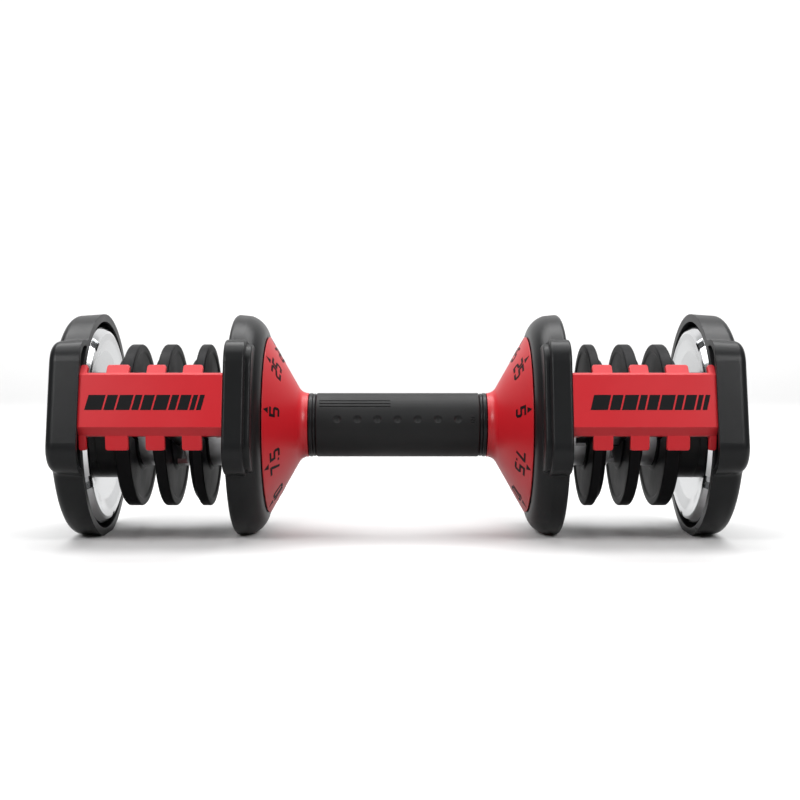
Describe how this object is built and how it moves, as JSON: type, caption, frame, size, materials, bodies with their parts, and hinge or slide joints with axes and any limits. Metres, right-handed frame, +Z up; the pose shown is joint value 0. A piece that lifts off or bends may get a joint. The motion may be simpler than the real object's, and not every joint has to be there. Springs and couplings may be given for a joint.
{
  "type": "adjustable dumbbell",
  "caption": "Adjustable dumbbell: a turning grip between two number cones moves cams that pick up iron plates held between ringed end caps and flanges joined by red beams.",
  "frame": {"origin": "on the floor, under the middle of the whole dumbbell, 5.5 mm in front of the handle's axis", "axes": "+X along the handle to the right-hand head, -Y to the front where the dial's reading mark is, +Z up"},
  "size_m": [0.404, 0.15, 0.1379],
  "materials": {
    "black_plastic": "fine satin moulded texture",
    "red_plastic": "satin moulded",
    "grip_rubber": "fine matt moulded rubber",
    "chrome": "polished",
    "plate_enamel": "glossy black enamel",
    "steel": "turned",
    "bearing_plastic": "natural acetal"
  },
  "bodies": {
    "frame": {"beam_left": "red_plastic", "beam_right": "red_plastic", "cap_screws": "steel", "core_rod": "steel", "detent_spring_left": "steel", "detent_spring_right": "steel", "end_bush_left": "bearing_plastic", "end_bush_right": "bearing_plastic", "end_cap_left": "black_plastic", "end_cap_right": "black_plastic", "end_cover_left": "black_plastic", "end_cover_right": "black_plastic", "end_disc_left": "chrome", "end_disc_right": "chrome", "end_hub_left": "black_plastic", "end_hub_right": "black_plastic", "flange_bush_left": "bearing_plastic", "flange_bush_right": "bearing_plastic", "flange_left": "black_plastic", "flange_right": "black_plastic", "flange_screws": "steel", "rod_nut_left": "steel", "rod_nut_right": "steel", "rod_washer_left": "steel", "rod_washer_right": "steel"},
    "dial": {"grip": "grip_rubber", "grip_tube": "steel", "trim_ring_left": "black_plastic", "collar_left": "black_plastic", "dial_cone_left": "red_plastic", "detent_ring_left": "bearing_plastic", "selector_tube_left": "steel", "trim_ring_right": "black_plastic", "collar_right": "black_plastic", "dial_cone_right": "red_plastic", "detent_ring_right": "bearing_plastic", "selector_tube_right": "steel", "cam_inner_left": "steel", "cam_inner_right": "steel", "cam_middle_left": "steel", "cam_middle_right": "steel", "cam_outer_left": "steel", "cam_outer_right": "steel"},
    "plate_inner_left": {"plate_inner_left": "plate_enamel"},
    "plate_middle_left": {"plate_middle_left": "plate_enamel"},
    "plate_outer_left": {"plate_outer_left": "plate_enamel"},
    "detent_left": {"detent_plunger_left": "steel"},
    "plate_inner_right": {"plate_inner_right": "plate_enamel"},
    "plate_middle_right": {"plate_middle_right": "plate_enamel"},
    "plate_outer_right": {"plate_outer_right": "plate_enamel"},
    "detent_right": {"detent_plunger_right": "steel"}
  },
  "joints": [
    {"name": "dial_turn", "type": "hinge", "parent": "frame", "child": "dial", "pos_m": [0, 0.00555, 0.0684], "axis": [1, 0, 0], "range_deg": [-320, 0]},
    {"name": "plate_inner_left_drop", "type": "slide", "parent": "frame", "child": "plate_inner_left", "axis": [0, 0.9703, -0.2419], "range_m": [0, 0.12]},
    {"name": "plate_middle_left_drop", "type": "slide", "parent": "frame", "child": "plate_middle_left", "axis": [0, 0.9703, -0.2419], "range_m": [0, 0.12]},
    {"name": "plate_outer_left_drop", "type": "slide", "parent": "frame", "child": "plate_outer_left", "axis": [0, 0.9703, -0.2419], "range_m": [0, 0.12]},
    {"name": "detent_left_slide", "type": "slide", "parent": "frame", "child": "detent_left", "axis": [1, 0, 0], "range_m": [0, 0.0008], "stiffness_N_per_m": 400, "springref_m": 0.0008},
    {"name": "plate_inner_right_drop", "type": "slide", "parent": "frame", "child": "plate_inner_right", "axis": [0, 0.9703, -0.2419], "range_m": [0, 0.12]},
    {"name": "plate_middle_right_drop", "type": "slide", "parent": "frame", "child": "plate_middle_right", "axis": [0, 0.9703, -0.2419], "range_m": [0, 0.12]},
    {"name": "plate_outer_right_drop", "type": "slide", "parent": "frame", "child": "plate_outer_right", "axis": [0, 0.9703, -0.2419], "range_m": [0, 0.12]},
    {"name": "detent_right_slide", "type": "slide", "parent": "frame", "child": "detent_right", "axis": [-1, 0, 0], "range_m": [0, 0.0008], "stiffness_N_per_m": 400, "springref_m": 0.0008}
  ]
}
